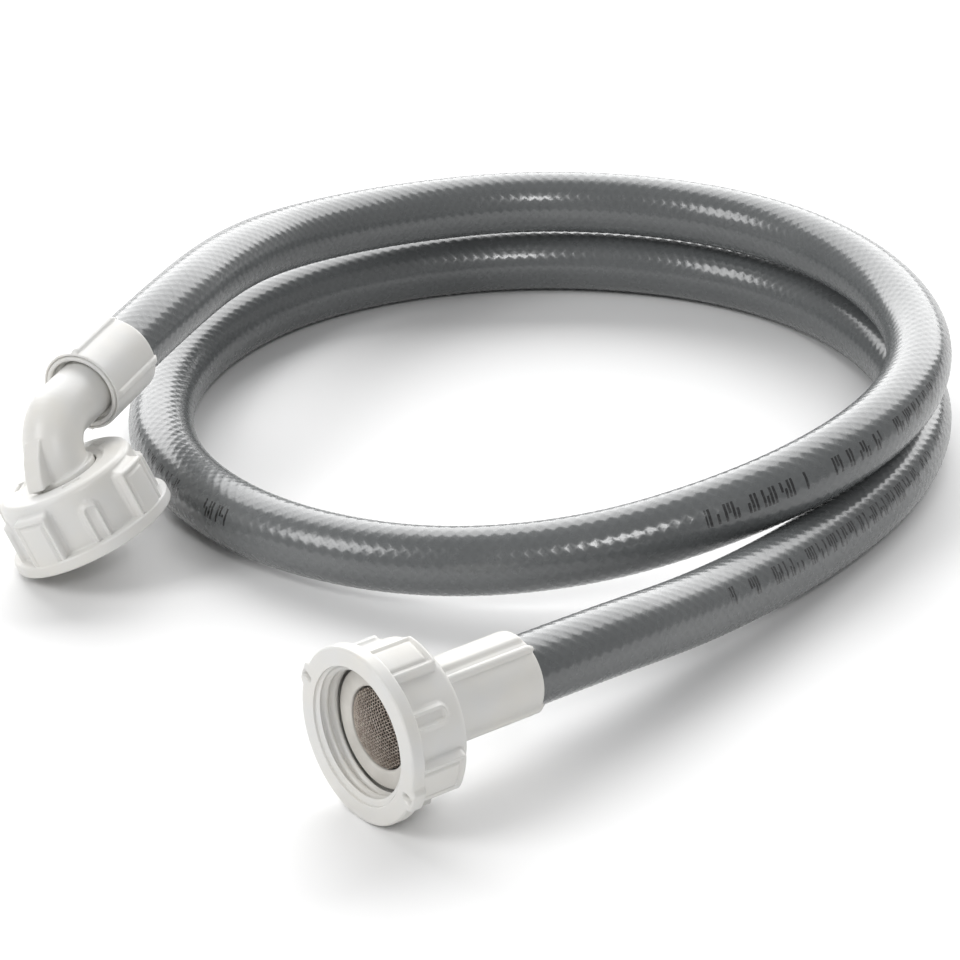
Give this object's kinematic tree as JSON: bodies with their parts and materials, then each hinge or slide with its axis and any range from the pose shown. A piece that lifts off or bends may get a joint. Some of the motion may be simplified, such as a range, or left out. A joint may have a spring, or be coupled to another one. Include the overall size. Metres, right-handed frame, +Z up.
{
  "type": "braided water supply hose",
  "caption": "Flexible braid-reinforced water supply hose, loosely coiled, with a straight threaded tap nut and filter at one end and a right-angled elbow nut at the other.",
  "frame": {"origin": "on the floor, below the middle of the box that holds the two end fittings", "axes": "+Z up, as the coiled hose lies on a floor; +Y from the fittings towards the far side of the coil"},
  "size_m": [0.1996, 0.2589, 0.042],
  "materials": {
    "hose_cover": "satin",
    "hose_braid": "matte",
    "hose_liner": "satin",
    "white_plastic": "satin",
    "gasket": "satin",
    "gauze": "satin"
  },
  "bodies": {
    "hose": {"hose_liner": "hose_liner", "hose_braid": "hose_braid", "hose_cover": "hose_cover", "tap_stem": "white_plastic", "tap_ferrule": "white_plastic", "elbow_body": "white_plastic", "elbow_ferrule": "white_plastic", "elbow_gasket": "gasket"},
    "tap_nut": {"tap_nut": "white_plastic"},
    "filter_washer": {"tap_gasket": "gasket", "tap_filter": "gauze"},
    "elbow_nut": {"elbow_nut": "white_plastic"}
  },
  "joints": [
    {"name": "tap_nut_spin", "type": "hinge", "parent": "hose", "child": "tap_nut", "pos_m": [0.02115, -0.0612, 0.01702], "axis": [-0.783, -0.622, 0], "continuous": true},
    {"name": "elbow_nut_spin", "type": "hinge", "parent": "hose", "child": "elbow_nut", "pos_m": [-0.036, 0.0375, 0.00726], "axis": [0.425, -0.086, -0.9011], "continuous": true},
    {"name": "filter_washer_out", "type": "slide", "parent": "tap_nut", "child": "filter_washer", "axis": [-0.783, -0.622, 0], "range_m": [0, 0.03]}
  ]
}
